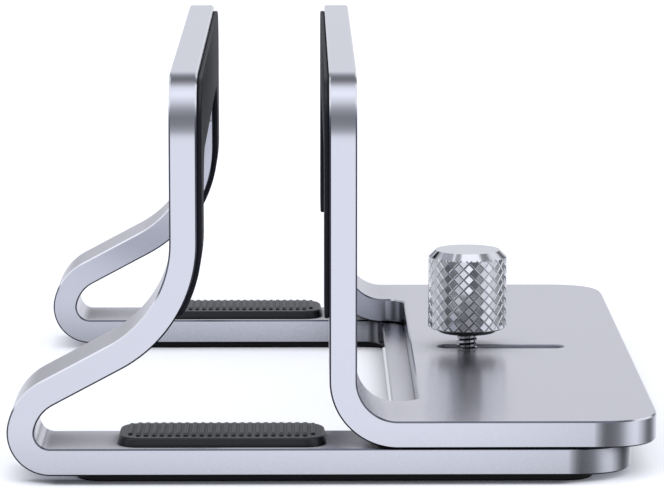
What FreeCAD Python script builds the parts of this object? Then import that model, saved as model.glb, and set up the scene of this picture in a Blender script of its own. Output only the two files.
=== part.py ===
"""Vertical laptop stand: a folded aluminium frame, a sliding angle bracket, a thumb screw and silicone pads.

Millimetres. +X runs from the curled end to the screw plate, +Y to the rear, +Z up.
The origin is the middle of the stand's outline, on the surface that it stands on.
While the pieces are made, x is measured from the outer face of the fixed upright, y from the front
edge and z from the underside of the metal. Each piece is moved to the origin as it is written.
"""
import FreeCAD, Part
import math
import os

# Sheet metal
SHEET = 5.0                      # thickness of both folded sheets
DEPTH = 151.0                    # front edge to rear edge
FRAME_HEIGHT = 72.7              # underside of the frame to the top of the uprights
EDGE_CHAMFER = 0.3               # bright cut edge all round both sheets
SHEET_CORNER = 8.5               # outer corners of the uprights and of the plates, at their tightest
CORNER_EASE = 25.0               # radius through which such a corner starts and ends
CORNER_EASE_TURN = 14.0          # and how far it turns there, at each end

# Folds of the fixed frame, from the upright down: leg bend, ramp, and a curl of two radii
LEG_BEND_START = 42.75           # height at which the legs leave the vertical
LEG_BEND_INNER = 21.2
RAMP_ANGLE = 28.1                # slope of the ramp above the horizontal
CURL_LARGE_INNER = 6.7
CURL_LARGE_TURN = 50.0
CURL_SMALL_INNER = 2.9
BASE_REACH = 84.5                # outer face of the fixed upright to the end of the base plate

# Sliding bracket, at the setting that the stand is shown in
GAP = 23.85                      # between the two uprights, metal to metal
BRACKET_BEND_INNER = 7.5
BRACKET_REACH = 60.3             # inner face of the sliding upright to the end of its plate

# Windows
WINDOW_TOP = 55.5                # height of the straight top edge of the upright windows
WINDOW_CORNER = 4.0              # in the plates
UPRIGHT_WINDOW_CORNER = 8.0
FRAME_RAIL = 16.8                # width of the frame's legs and rails
BRACKET_RAIL = 19.4              # width of the bracket's legs and rails
BASE_WINDOW_END = 41.2           # outer face of the fixed upright to the end of the base window
BRACKET_WINDOW_END = 16.9        # inner face of the sliding upright to the end of the plate window

# Thumb screw; the stud's thread is drawn at its outer diameter
STUD_DIAMETER = 4.0
STUD_LENGTH = 10.0               # under the knob
STUD_TIP_DIAMETER = 3.5
STUD_TIP_LENGTH = 1.2
STUD_TIP_CHAMFER = 0.4
KNOB_DIAMETER = 15.7
KNOB_HEIGHT = 15.7
KNOB_TOP_CHAMFER = 1.4
KNOB_FOOT_CHAMFER = 0.3
KNURLS_ROUND = 23                # diamonds in one ring of the knurl
KNURL_ROW = 2.15                 # height of one diamond
KNURL_DEPTH = 0.3
KNURL_GROOVE = 0.34              # width of the groove between two diamonds
SCREW_AXIS = 57.05               # outer face of the fixed upright to the screw's axis
SCREW_ENGAGEMENT = 1.0           # how far the stud stands in the base's thread at rest
THREAD_CLEARANCE = 0.08          # round the stud, in the tapped hole
SLOT_LENGTH = 25.35
SLOT_LEFT_END = 22.25            # inner face of the sliding upright to the near end of the slot
SLOT_CLEARANCE = 0.2             # on each side of the stud
WASHER_DIAMETER = 11.5
WASHER_THICKNESS = 0.9
WASHER_CLEARANCE = 0.15          # round the stud

# Silicone
PAD_THICKNESS = 0.9              # linings of the uprights
PAD_MARGIN = 1.2                 # metal left bare round the linings
LEFT_LEG_END = 28.8              # height at which the fixed upright's lining ends
RIGHT_LEG_END = 28.5             # height at which the sliding upright's lining ends
PAD_LEG_CORNER = 2.0
STRIP_START = -9.9               # outer face of the fixed upright to the strips' far end
STRIP_LENGTH = 38.25
STRIP_HEIGHT = 1.75
STRIP_MARGIN = 1.2               # rail left bare beside a strip
STRIP_CORNER = 4.0
STRIP_EDGE = 0.35                # bevelled top edge
RIB_COUNT = 24                   # raised ribs across a strip
RIB_PITCH = 1.45
RIB_WIDTH = 0.7
RIB_HEIGHT = 0.5                 # above the strip
RIB_MARGIN = 1.45                # smooth border in front of and behind the ribs
END_RIB_MARGIN = 2.6             # the same for the first and the last rib, beside the rounded corners
FOOT_THICKNESS = 1.2             # anti-slip sheet under the frame
FOOT_MARGIN = 1.1
FOOT_START = -17.4
FOOT_END = 77.0
FOOT_CORNER = 5.0
FOOT_HOLE_CLEARANCE = 2.0        # round the tapped hole

OVERCUT = 1.0                    # how far a cutting solid stands past the faces that it cuts
TOUCH = 0.1                      # two heights closer than this are taken as the same
SHARP_COSINE = 0.5               # faces whose normals agree by less than this meet in a sharp edge

# Sizes that follow from those above
HALF_SHEET = SHEET / 2
HALF_DEPTH = DEPTH / 2
BRACKET_FACE = SHEET + GAP
BRACKET_END = BRACKET_FACE + BRACKET_REACH
BRACKET_TOP = 2 * SHEET
CURL_END_HEADING = 360.0
RAMP_HEADING = 180.0 + RAMP_ANGLE
DOWN = 270.0
BEYOND = 2 * (BASE_REACH + BRACKET_REACH)


def vector(x, y, z):
    return FreeCAD.Vector(x, y, z)


def beside(x, z, heading, offset):
    """The point that lies an offset to the left of a heading, in the fold's section."""
    return vector(x - offset * math.sin(heading), 0, z + offset * math.cos(heading))


def walk(start, heading, moves):
    """Follows runs and turns, and gives each step as its stations: (x, z, heading) triples."""
    x, z = start
    heading = math.radians(heading)
    steps = []
    for radius, amount in moves:
        if radius == 0:
            stations = [(x, z, heading)]
            x += amount * math.cos(heading)
            z += amount * math.sin(heading)
            stations.append((x, z, heading))
        else:
            side = math.copysign(radius, amount)
            centre = beside(x, z, heading, side)
            stations = []
            for share in (0, 0.5, 1):
                turned = heading + share * math.radians(amount)
                point = beside(centre.x, centre.z, turned, -side)
                stations.append((point.x, point.z, turned))
            x, z, heading = stations[-1]
        steps.append(stations)
    return steps


def run(length):
    return 0, length


def turn(inner_radius, degrees):
    """A fold, to the left if its angle is positive; the inner radius is the sheet's."""
    return inner_radius + HALF_SHEET, degrees


def side_edges(steps, offset):
    """Lines and arcs along one side of a path."""
    edges = []
    for stations in steps:
        points = [beside(x, z, heading, offset) for x, z, heading in stations]
        if len(points) == 2:
            edges.append(Part.LineSegment(*points).toShape())
        else:
            edges.append(Part.Arc(*points).toShape())
    return edges


def folded(start, heading, moves, right, left):
    """A sheet of full depth, folded along a path, between an offset on its right and one on its left."""
    steps = walk(start, heading, moves)
    edges = side_edges(steps, right) + side_edges(steps, left)
    for x, z, way in (steps[0][0], steps[-1][-1]):
        edges.append(Part.LineSegment(beside(x, z, way, right), beside(x, z, way, left)).toShape())
    wire = Part.Wire(Part.__sortEdges__(edges))
    return Part.Face(wire).extrude(vector(0, DEPTH, 0))


def eased(cut_back=0):
    """Stands in for a radius: an outer corner of the sheets, or one that runs inside it at a distance."""
    return "eased", cut_back


def eased_offset(turned, cut_back):
    """How far an eased corner has come along and across once it has turned by an angle."""
    switch = math.radians(CORNER_EASE_TURN)
    along = 0
    across = 0
    start = 0
    for radius, end in ((CORNER_EASE, switch), (SHEET_CORNER, math.pi / 2 - switch), (CORNER_EASE, math.pi / 2)):
        stop = min(turned, end)
        along += (radius - cut_back) * (math.sin(stop) - math.sin(start))
        across += (radius - cut_back) * (math.cos(start) - math.cos(stop))
        if turned <= end:
            break
        start = end
    return along, across


def eased_points(corner, before, after, cut_back):
    """The three arcs of an eased corner, as seven points; each arc has two ends and a middle."""
    reach = eased_offset(math.pi / 2, cut_back)[0]
    switch = CORNER_EASE_TURN
    points = []
    for degrees in (0, switch / 2, switch, 45, 90 - switch, 90 - switch / 2, 90):
        along, across = eased_offset(math.radians(degrees), cut_back)
        points.append(corner + before * (reach - along) + after * across)
    return points


def outline(corners, place):
    """A flat face with a radius at each corner, from (u, v, radius) corners in order."""
    ends = []
    arcs = []
    count = len(corners)
    for index, (u, v, radius) in enumerate(corners):
        corner = place(u, v)
        if radius == 0:
            ends.append((corner, corner))
            continue
        before = (place(*corners[index - 1][:2]) - corner).normalize()
        after = (place(*corners[(index + 1) % count][:2]) - corner).normalize()
        if isinstance(radius, tuple):
            points = eased_points(corner, before, after, radius[1])
            for first in (0, 2, 4):
                arcs.append(Part.Arc(*points[first:first + 3]).toShape())
            ends.append((points[0], points[-1]))
            continue
        half_angle = before.getAngle(after) / 2
        bisector = (before + after).normalize()
        reach = radius / math.tan(half_angle)
        crown = corner + bisector * (radius / math.sin(half_angle) - radius)
        first = corner + before * reach
        last = corner + after * reach
        arcs.append(Part.Arc(first, crown, last).toShape())
        ends.append((first, last))
    lines = []
    for index in range(count):
        start = ends[index - 1][1]
        finish = ends[index][0]
        if start.distanceToPoint(finish) > Part.Precision.confusion():
            lines.append(Part.LineSegment(start, finish).toShape())
    return Part.Face(Part.Wire(Part.__sortEdges__(lines + arcs)))


def rectangle(low, high, place, low_radius=0, high_radius=0):
    """A rectangle with one radius at the low end and one at the high end of its second axis."""
    (u0, v0), (u1, v1) = low, high
    corners = [(u0, v0, low_radius), (u1, v0, low_radius), (u1, v1, high_radius), (u0, v1, high_radius)]
    return outline(corners, place)


def upright_prism(low, high, start, end, low_radius=0, high_radius=0):
    """A y-z rectangle, carried along x from start to end."""
    face = rectangle(low, high, lambda y, z: vector(start, y, z), low_radius, high_radius)
    return face.extrude(vector(end - start, 0, 0))


def plate_prism(low, high, bottom, top, low_radius=0, high_radius=0):
    """A y-x rectangle, carried up from bottom to top; its second axis is the stand's length."""
    face = rectangle(low, high, lambda y, x: vector(x, y, bottom), low_radius, high_radius)
    return face.extrude(vector(0, 0, top - bottom))


def cylinder(radius, bottom, top):
    """An upright cylinder on the screw's axis."""
    return Part.makeCylinder(radius, top - bottom, vector(SCREW_AXIS, HALF_DEPTH, bottom))


def turned(profile):
    """A turned solid on the screw's axis, from (radius, height) points."""
    points = [vector(radius, 0, height) for radius, height in profile]
    wire = Part.makePolygon(points + points[:1])
    solid = Part.Face(wire).revolve(vector(0, 0, 0), vector(0, 0, 1), 360)
    solid.translate(vector(SCREW_AXIS, HALF_DEPTH, 0))
    return solid


def sharp_edges(shape):
    """Edges where two faces meet at about a right angle, small holes left out."""
    found = []
    for edge in shape.Edges:
        faces = shape.ancestorsOfType(edge, Part.Face)
        if len(faces) != 2 or edge.BoundBox.DiagonalLength < STUD_DIAMETER + SHEET:
            continue
        middle = edge.valueAt((edge.FirstParameter + edge.LastParameter) / 2)
        normals = []
        for face in faces:
            u, v = face.Surface.parameter(middle)
            normals.append(face.normalAt(u, v))
        if abs(normals[0].dot(normals[1])) < SHARP_COSINE:
            found.append(edge)
    return found


def frame_moves():
    """The fixed frame's folds, from its upright's top down; the ramp is as long as the height leaves."""
    leg = LEG_BEND_INNER + HALF_SHEET
    large = CURL_LARGE_INNER + HALF_SHEET
    small = CURL_SMALL_INNER + HALF_SHEET
    ramp = math.radians(RAMP_ANGLE)
    curl = math.radians(RAMP_HEADING + CURL_LARGE_TURN)
    folds_drop = leg * math.cos(ramp) + large * (math.cos(ramp) + math.cos(curl))
    folds_drop += small * (1 - math.cos(curl))
    ramp_length = (LEG_BEND_START - HALF_SHEET - folds_drop) / math.sin(ramp)
    moves = [
        run(FRAME_HEIGHT - LEG_BEND_START),
        turn(LEG_BEND_INNER, RAMP_HEADING - DOWN),
        run(ramp_length),
        turn(CURL_LARGE_INNER, CURL_LARGE_TURN),
        turn(CURL_SMALL_INNER, CURL_END_HEADING - RAMP_HEADING - CURL_LARGE_TURN),
    ]
    curl_end = walk((HALF_SHEET, FRAME_HEIGHT), DOWN, moves)[-1][-1][0]
    return moves + [run(BASE_REACH - curl_end)]


def curl_overhang():
    """How far the curl's outermost point stands out past the fixed upright."""
    steps = walk((HALF_SHEET, FRAME_HEIGHT), DOWN, frame_moves())
    x, z, heading = steps[4][0]
    radius = CURL_SMALL_INNER + HALF_SHEET
    centre = beside(x, z, heading, radius)
    return radius + HALF_SHEET - centre.x


def base_frame():
    """One sheet: an upright, two legs that swing out and curl back under, and the base plate."""
    sheet = folded((HALF_SHEET, FRAME_HEIGHT), DOWN, frame_moves(), -HALF_SHEET, HALF_SHEET)
    sheet = sheet.common(upright_prism((0, -OVERCUT), (DEPTH, FRAME_HEIGHT), -BEYOND, BEYOND,
                                       high_radius=eased()))
    sheet = sheet.common(plate_prism((0, -BEYOND), (DEPTH, BASE_REACH), -OVERCUT, FRAME_HEIGHT + OVERCUT,
                                     high_radius=eased()))
    rail_end = DEPTH - FRAME_RAIL
    sheet = sheet.cut(upright_prism((FRAME_RAIL, -OVERCUT), (rail_end, WINDOW_TOP), -BEYOND, SHEET + OVERCUT,
                                    high_radius=UPRIGHT_WINDOW_CORNER))
    sheet = sheet.cut(plate_prism((FRAME_RAIL, 0), (rail_end, BASE_WINDOW_END), -OVERCUT, SHEET + OVERCUT,
                                  high_radius=WINDOW_CORNER))
    sheet = sheet.makeChamfer(EDGE_CHAMFER, sharp_edges(sheet))
    return sheet.cut(cylinder(STUD_DIAMETER / 2 + THREAD_CLEARANCE, -OVERCUT, SHEET + OVERCUT))


def slide_bracket():
    """One sheet folded to an angle: an upright, and a plate with the slot that the screw clamps through."""
    fold = BRACKET_BEND_INNER + SHEET
    moves = [
        run(FRAME_HEIGHT - SHEET - fold),
        turn(BRACKET_BEND_INNER, CURL_END_HEADING - DOWN),
        run(BRACKET_REACH - fold),
    ]
    sheet = folded((BRACKET_FACE + HALF_SHEET, FRAME_HEIGHT), DOWN, moves, -HALF_SHEET, HALF_SHEET)
    sheet = sheet.common(upright_prism((0, 0), (DEPTH, FRAME_HEIGHT), 0, BEYOND, high_radius=eased()))
    sheet = sheet.common(plate_prism((0, 0), (DEPTH, BRACKET_END), 0, FRAME_HEIGHT + OVERCUT,
                                     high_radius=eased()))
    rail_end = DEPTH - BRACKET_RAIL
    sheet = sheet.cut(upright_prism((BRACKET_RAIL, 0), (rail_end, WINDOW_TOP), BRACKET_FACE - OVERCUT,
                                    BRACKET_FACE + fold, high_radius=UPRIGHT_WINDOW_CORNER))
    window_end = BRACKET_FACE + BRACKET_WINDOW_END
    sheet = sheet.cut(plate_prism((BRACKET_RAIL, BRACKET_FACE), (rail_end, window_end), 0,
                                  BRACKET_TOP + OVERCUT, high_radius=WINDOW_CORNER))
    sheet = sheet.makeChamfer(EDGE_CHAMFER, sharp_edges(sheet))
    half_slot = STUD_DIAMETER / 2 + SLOT_CLEARANCE
    slot_start = BRACKET_FACE + SLOT_LEFT_END
    slot_end = slot_start + SLOT_LENGTH
    slot = plate_prism((HALF_DEPTH - half_slot, slot_start), (HALF_DEPTH + half_slot, slot_end), 0,
                       BRACKET_TOP + OVERCUT, low_radius=half_slot, high_radius=half_slot)
    return sheet.cut(slot)


def knurl_point(turns, radius, height):
    """A point on the knob, its angle in diamonds from the front."""
    angle = 2 * math.pi * turns / KNURLS_ROUND
    return vector(radius * math.sin(angle), -radius * math.cos(angle), height)


def knurl_middle(centre, height):
    """The four points across the middle of a diamond: groove, crest, crest, groove."""
    half_flat = knurl_flat() / 2
    crest = KNOB_DIAMETER / 2
    root = crest - KNURL_DEPTH
    stations = ((-1 / 2, root), (-half_flat, crest), (half_flat, crest), (1 / 2, root))
    return [knurl_point(centre + turns, radius, height) for turns, radius in stations]


def knurl_flat():
    """Share of a diamond's width and height that is flat, between the grooves."""
    half_width = math.pi * KNOB_DIAMETER / 2 / KNURLS_ROUND
    half_row = KNURL_ROW / 2
    return 1 - KNURL_GROOVE / 2 * math.hypot(half_width, half_row) / (half_width * half_row)


def knurl_loops(centre, height, ways):
    """Corners of a flat diamond and of its flanks; ways holds 1 for its upper half and -1 for its lower."""
    groove_left, left, right, groove_right = knurl_middle(centre, height)
    crest = KNOB_DIAMETER / 2
    tip_radius = crest * math.cos(knurl_flat() * math.pi / KNURLS_ROUND)
    tips = {}
    flanks = []
    for way in ways:
        tip = knurl_point(centre, tip_radius, height + way * knurl_flat() * KNURL_ROW / 2)
        groove_tip = knurl_point(centre, crest - KNURL_DEPTH, height + way * KNURL_ROW / 2)
        for side, groove in ((left, groove_left), (right, groove_right)):
            flanks.append([side, tip, groove_tip])
            flanks.append([side, groove_tip, groove])
        tips[way] = [tip]
    return [[left] + tips.get(-1, []) + [right] + tips.get(1, [])] + flanks


def knurled_bar(bottom, rows):
    """A bar with a diamond knurl, cut square at both ends through the middle of a row."""
    loops = []
    for row in range(rows + 1):
        height = bottom + row * KNURL_ROW / 2
        ways = [way for way in (-1, 1) if 0 <= row + way <= rows]
        centres = [index + row % 2 / 2 for index in range(KNURLS_ROUND)]
        for centre in centres:
            loops += knurl_loops(centre, height, ways)
        if len(ways) == 1:
            loops.append([point for centre in centres for point in knurl_middle(centre, height)[:3]])
    shell = Part.makeShell([Part.Face(Part.makePolygon(loop + loop[:1])) for loop in loops])
    shell.sewShape()
    bar = Part.makeSolid(shell)
    bar.translate(vector(SCREW_AXIS, HALF_DEPTH, 0))
    return bar


def thumb_screw():
    """Turned in one piece: a knurled knob with bevelled ends over a plain-tipped stud."""
    tip = SHEET - SCREW_ENGAGEMENT
    foot = tip + STUD_LENGTH
    crown = foot + KNOB_HEIGHT
    knob = KNOB_DIAMETER / 2
    stud = STUD_DIAMETER / 2
    tip_radius = STUD_TIP_DIAMETER / 2
    blank = turned([(0, foot), (knob - KNOB_FOOT_CHAMFER, foot), (knob, foot + KNOB_FOOT_CHAMFER),
                    (knob, crown - KNOB_TOP_CHAMFER), (knob - KNOB_TOP_CHAMFER, crown), (0, crown)])
    stem = turned([(0, tip), (tip_radius - STUD_TIP_CHAMFER, tip), (tip_radius, tip + STUD_TIP_CHAMFER),
                   (tip_radius, tip + STUD_TIP_LENGTH), (stud, tip + STUD_TIP_LENGTH + stud - tip_radius),
                   (stud, foot + OVERCUT), (0, foot + OVERCUT)])
    half_row = KNURL_ROW / 2
    bar = knurled_bar(foot - half_row, math.ceil(KNOB_HEIGHT / half_row) + 1)
    return bar.common(blank).fuse(stem).removeSplitter()


def screw_washer():
    """A thin black ring close under the knob."""
    foot = SHEET - SCREW_ENGAGEMENT + STUD_LENGTH
    bottom = foot - WASHER_THICKNESS
    ring = cylinder(WASHER_DIAMETER / 2, bottom, foot)
    return ring.cut(cylinder(STUD_DIAMETER / 2 + WASHER_CLEARANCE, bottom - OVERCUT, foot + OVERCUT))


def lining(sheet, rail, leg_end):
    """A thin lining, cut back from the metal's edges all round, with two legs that end above the rail."""
    margin = PAD_MARGIN
    body = upright_prism((margin, leg_end), (DEPTH - margin, FRAME_HEIGHT - margin), -BEYOND, BEYOND,
                         high_radius=eased(margin))
    opening = (rail - margin, DEPTH - rail + margin)
    window = upright_prism((opening[0], leg_end - BEYOND), (opening[1], WINDOW_TOP + margin), -BEYOND, BEYOND,
                           high_radius=UPRIGHT_WINDOW_CORNER + margin)
    body = body.cut(window)
    foot_edges = [edge for edge in body.Edges
                  if abs(edge.BoundBox.ZMax - leg_end) < TOUCH and edge.BoundBox.YLength < TOUCH]
    return body.makeFillet(PAD_LEG_CORNER, foot_edges).common(sheet)


def left_upright_pad():
    """The fixed upright's lining; its legs follow the start of the leg bend."""
    leg = frame_moves()[:2]
    sheet = folded((HALF_SHEET, FRAME_HEIGHT), DOWN, leg, HALF_SHEET, HALF_SHEET + PAD_THICKNESS)
    return lining(sheet, FRAME_RAIL, LEFT_LEG_END)


def right_upright_pad():
    """The sliding upright's lining."""
    sheet = upright_prism((0, 0), (DEPTH, FRAME_HEIGHT), BRACKET_FACE - PAD_THICKNESS, BRACKET_FACE)
    return lining(sheet, BRACKET_RAIL, RIGHT_LEG_END)


def rail_strip(front):
    """A ribbed cushion that the laptop's edge stands on; its ribs run from front to rear."""
    width = FRAME_RAIL - 2 * STRIP_MARGIN
    rear = front + width
    end = STRIP_START + STRIP_LENGTH
    top = SHEET + STRIP_HEIGHT
    strip = plate_prism((front, STRIP_START), (rear, end), SHEET, top,
                        low_radius=STRIP_CORNER, high_radius=STRIP_CORNER)
    rim = [edge for edge in strip.Edges if edge.BoundBox.ZMin > top - TOUCH]
    strip = strip.makeChamfer(STRIP_EDGE, rim)
    first = (STRIP_START + end - (RIB_COUNT - 1) * RIB_PITCH - RIB_WIDTH) / 2
    root = STRIP_HEIGHT / 2
    ribs = []
    for index in range(RIB_COUNT):
        margin = END_RIB_MARGIN if index in (0, RIB_COUNT - 1) else RIB_MARGIN
        corner = vector(first + index * RIB_PITCH, front + margin, top - root)
        ribs.append(Part.makeBox(RIB_WIDTH, width - 2 * margin, root + RIB_HEIGHT, corner))
    return strip.fuse(ribs).removeSplitter()


def front_rail_strip():
    return rail_strip(STRIP_MARGIN)


def rear_rail_strip():
    return rail_strip(DEPTH - FRAME_RAIL + STRIP_MARGIN)


def bottom_pad():
    """One anti-slip sheet under the rails and the base plate, windowed like them."""
    far_side = DEPTH - FOOT_MARGIN
    pad = plate_prism((FOOT_MARGIN, FOOT_START), (far_side, FOOT_END), -FOOT_THICKNESS, 0,
                      low_radius=FOOT_CORNER, high_radius=FOOT_CORNER)
    rail = FRAME_RAIL - FOOT_MARGIN
    window = plate_prism((rail, FOOT_START - OVERCUT), (DEPTH - rail, BASE_WINDOW_END + FOOT_MARGIN),
                         -FOOT_THICKNESS - OVERCUT, OVERCUT, high_radius=WINDOW_CORNER)
    hole = cylinder(STUD_DIAMETER / 2 + FOOT_HOLE_CLEARANCE, -FOOT_THICKNESS - OVERCUT, OVERCUT)
    return pad.cut([window, hole])


NODES = {
    "base_frame": base_frame,
    "slide_bracket": slide_bracket,
    "thumb_screw": thumb_screw,
    "screw_washer": screw_washer,
    "left_upright_pad": left_upright_pad,
    "right_upright_pad": right_upright_pad,
    "front_rail_strip": front_rail_strip,
    "rear_rail_strip": rear_rail_strip,
    "bottom_pad": bottom_pad,
}


def main():
    os.makedirs("parts", exist_ok=True)
    overhang = curl_overhang()
    to_origin = vector((overhang - BRACKET_END) / 2, -HALF_DEPTH, FOOT_THICKNESS)
    for name, build in NODES.items():
        shape = build()
        shape.translate(to_origin)
        solids = shape.Solids
        print(name, "solids", len(solids), "valid", shape.isValid(), "volume", round(shape.Volume, 1))
        piece = solids[0] if len(solids) == 1 else shape
        piece.exportStep(os.path.join("parts", name + ".step"))
    print("origin shift", [round(value, 3) for value in to_origin])


main()
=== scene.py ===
"""Vertical laptop stand: folded anodised aluminium, a knurled thumb screw and black silicone linings.

Metres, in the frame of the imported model. Sizes are given in millimetres and turned to metres by MM.
"""
import math
import bpy
from mathutils import Matrix, Vector


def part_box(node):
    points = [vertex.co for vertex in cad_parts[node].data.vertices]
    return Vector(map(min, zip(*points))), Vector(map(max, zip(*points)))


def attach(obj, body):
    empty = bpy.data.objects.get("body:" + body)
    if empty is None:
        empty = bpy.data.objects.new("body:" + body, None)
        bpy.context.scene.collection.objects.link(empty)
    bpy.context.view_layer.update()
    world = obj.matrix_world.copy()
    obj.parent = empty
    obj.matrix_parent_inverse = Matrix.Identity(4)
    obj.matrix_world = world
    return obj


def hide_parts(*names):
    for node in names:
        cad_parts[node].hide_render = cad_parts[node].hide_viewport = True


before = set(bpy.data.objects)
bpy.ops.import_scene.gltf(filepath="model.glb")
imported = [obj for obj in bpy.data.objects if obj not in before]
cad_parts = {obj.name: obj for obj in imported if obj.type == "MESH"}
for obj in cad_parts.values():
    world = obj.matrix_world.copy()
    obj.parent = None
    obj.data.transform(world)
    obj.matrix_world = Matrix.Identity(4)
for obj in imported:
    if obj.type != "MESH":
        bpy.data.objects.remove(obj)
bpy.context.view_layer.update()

MM = 0.001

# The camera, as it stood for the photograph
CAMERA_PLACE = Vector((-6.1, -754.0, 149.9)) * MM
CAMERA_PITCH = 8.9                 # degrees below the horizon
CAMERA_YAW = 0.48                  # degrees towards +X
CAMERA_FOCAL_PIXELS = 3817.7
IMAGE_WIDTH_PIXELS = 664
SENSOR_WIDTH = 36.0                # in the camera's own millimetres
CAMERA_CLIP = (0.01, 50.0)

# Sheet metal
SHEET = 5.0 * MM
CHAMFER = 0.3 * MM
SHEET_CORNER = 13.0 * MM           # how far a corner's curve starts from it
CORNER_FULLNESS = 0.60             # a circle is 0.5, and a square 1
CORNER_STEPS = 32
LEG_BEND_DROP = 29.95 * MM         # top of the upright to the start of the leg bend
LEG_BEND_INNER = 21.2 * MM
RAMP_ANGLE = math.radians(28.1)
CURL_LARGE_INNER = 6.7 * MM
CURL_LARGE_TURN = math.radians(50.0)
CURL_SMALL_INNER = 2.9 * MM
BASE_REACH = 84.5 * MM             # outer face of the fixed upright to the end of the base plate
BRACKET_BEND_INNER = 7.5 * MM
WINDOW_DROP = 17.2 * MM            # top of the uprights to the top of their windows
WINDOW_CORNER = 4.0 * MM           # in the plates
UPRIGHT_WINDOW_CORNER = 8.0 * MM
FRAME_RAIL = 16.8 * MM             # width of metal beside the frame's window
BRACKET_RAIL = 19.4 * MM           # and beside the bracket's
BASE_WINDOW_END = 41.2 * MM        # outer face of the fixed upright to the end of the base window
BRACKET_WINDOW_END = 16.9 * MM     # inner face of the sliding upright to the end of its plate's window
SLOT_START = 22.25 * MM            # inner face of the sliding upright to the slot
SLOT_LENGTH = 25.35 * MM
SLOT_WIDTH = 4.4 * MM
SLOT_CHAMFER = 0.2 * MM
HOLE_CLEARANCE = 0.08 * MM         # round the stud, in the base plate

# Silicone
LINING_MARGIN = 1.2 * MM
LINING_LEG_CORNER = 2.0 * MM
LINING_ROUND = 0.3 * MM
LINING_TURN = math.radians(40.0)   # a little more of the leg bend than the lining covers
STRIP_CORNER = 4.0 * MM
STRIP_HEIGHT = 1.75 * MM           # without its ribs
STRIP_ROUND = 0.4 * MM
STRIP_DRAFT = 0.45 * MM            # how far the ends lean in
RIB_COUNT = 24
RIB_PITCH = 1.45 * MM
RIB_WIDTH = 0.7 * MM
RIB_ROUND = 0.15 * MM
RIB_MARGIN = 1.45 * MM             # end of a rib to the strip's side
END_RIB_MARGIN = 2.6 * MM          # the same for the first and the last rib
FOOT_MARGIN = 1.1 * MM
FOOT_CORNER = 5.0 * MM
FOOT_ROUND = 0.25 * MM
FOOT_HOLE_CLEARANCE = 2.0 * MM     # round the stud, in the anti-slip sheet

# Thumb screw and washer
KNOB_DIAMETER = 15.7 * MM
KNOB_HEIGHT = 15.7 * MM
KNOB_BEVEL = 1.4 * MM
KNOB_FOOT_BEVEL = 0.3 * MM
KNURLS_ROUND = 23
KNURL_ROW = 2.15 * MM
KNURL_DEPTH = 0.3 * MM
KNURL_GROOVE = 0.34 * MM
KNURL_INSET = 0.02 * MM            # how far the diamonds lie inside the turned form
KNURL_FLANK_DROP = 0.1 * MM        # deeper than this under the diamonds is groove
STUD_DIAMETER = 4.0 * MM
STUD_SEAT = 0.5 * MM               # how far the stud runs up into the knob
THREAD_PITCH = 0.9 * MM
THREAD_DEPTH = 0.42 * MM
THREAD_CREST = 0.45                # share of a turn that stands at full height
THREAD_INSET = 0.01 * MM           # how far the crests lie inside the stud's diameter
THREAD_FLANK_DROP = 0.05 * MM      # deeper than this under the crests is groove
THREAD_STEPS = 32                  # facets in one turn
TIP_LENGTH = 1.2 * MM
TIP_DIAMETER = 3.6 * MM
TIP_BEVEL = 0.4 * MM
TIP_SEAT = 0.3 * MM                # how far the tip runs up into the thread
WASHER_ROUND = 0.2 * MM
WASHER_CLEARANCE = 0.15 * MM

# Modelling
ARC_STEP = math.radians(3.0)       # one facet of a fold
TURNED_SIDES = 96                  # facets round the knob and the washer
BORE_SIDES = 48                    # and round the stud's tip and the holes
OVERCUT = 1.0 * MM                 # how far a cutter stands out of what it cuts
MERGE = 0.001 * MM                 # points closer than this become one
HAIR = 0.01 * MM                   # less than this is no distance
STRAIGHT = 0.999                   # part of an edge's direction that follows an axis
FACING = 0.99                      # the same for a face's normal
FLAT_ANGLE = math.radians(0.5)     # faces that turn less than this are one
ROUND_ANGLE = math.radians(30)     # edges that turn less than this are part of a round surface
EDGE_ANGLE = math.radians(50)      # edges that turn more than this are bevelled
BROAD, CUT, EDGE, INSIDE, SLOT = range(5)      # material places on the sheet metal, INSIDE for windows' walls
GROOVE = 1                         # material place on the thumb screw, after its bright surface

# Directions by which the materials paint shade and sheen, as a normal's part along an axis, with a soft step
# in between
FRONT_CHAMFER = (-0.61, -0.685)    # along Y, where a chamfer at the front has -0.71
UPPER_SIDE = (0.3, 0.36)           # along Z
RAMP_SIDE = (-0.15, -0.25)         # along X, where the chamfer of the ramp's upper side has -0.33
LEVEL_FACE = (0.8, 0.98)           # along Z
RUBBER_TOP = (0.3, 0.7)            # along Z

# Painted shade that the materials carry, from the open share of what is round a point
RECESS = 22.0 * MM                 # how far off the metals look
# The colour of the metals' painted shade
RECESS_SHADE_COLOUR = "#15161A"
CREVICE = 1.2 * MM                 # how far off the rubbers look
CREVICE_SHARE = (0.4, 0.9)         # no sheen at the first and the whole sheen at the second
RUBBER_SPREAD = 0.06               # how much the grain varies a rubber's roughness

# Floor
FLOOR_SIZE = 12.0
FLOOR_GLOW = 0.43
CONTACT = 5.0 * MM                 # how near the stand the glow fades, for a painted contact shadow
CONTACT_SHARE = (0.15, 1.0)        # open shares without glow and with the whole glow
FRONT_CONTACT_SHARE = (0.657, 0.858)           # the same along the front edge, where a darker shadow is painted
FRONT_DEPTH = (2.0 * MM, 4.0 * MM)             # how far behind the front edge that fades
CURL_REACH = 9.0 * MM              # it sets in over this length from the curl
CORNER_REACH = (14.0 * MM, 4.0 * MM)           # and fades between these lengths before the far end

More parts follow.
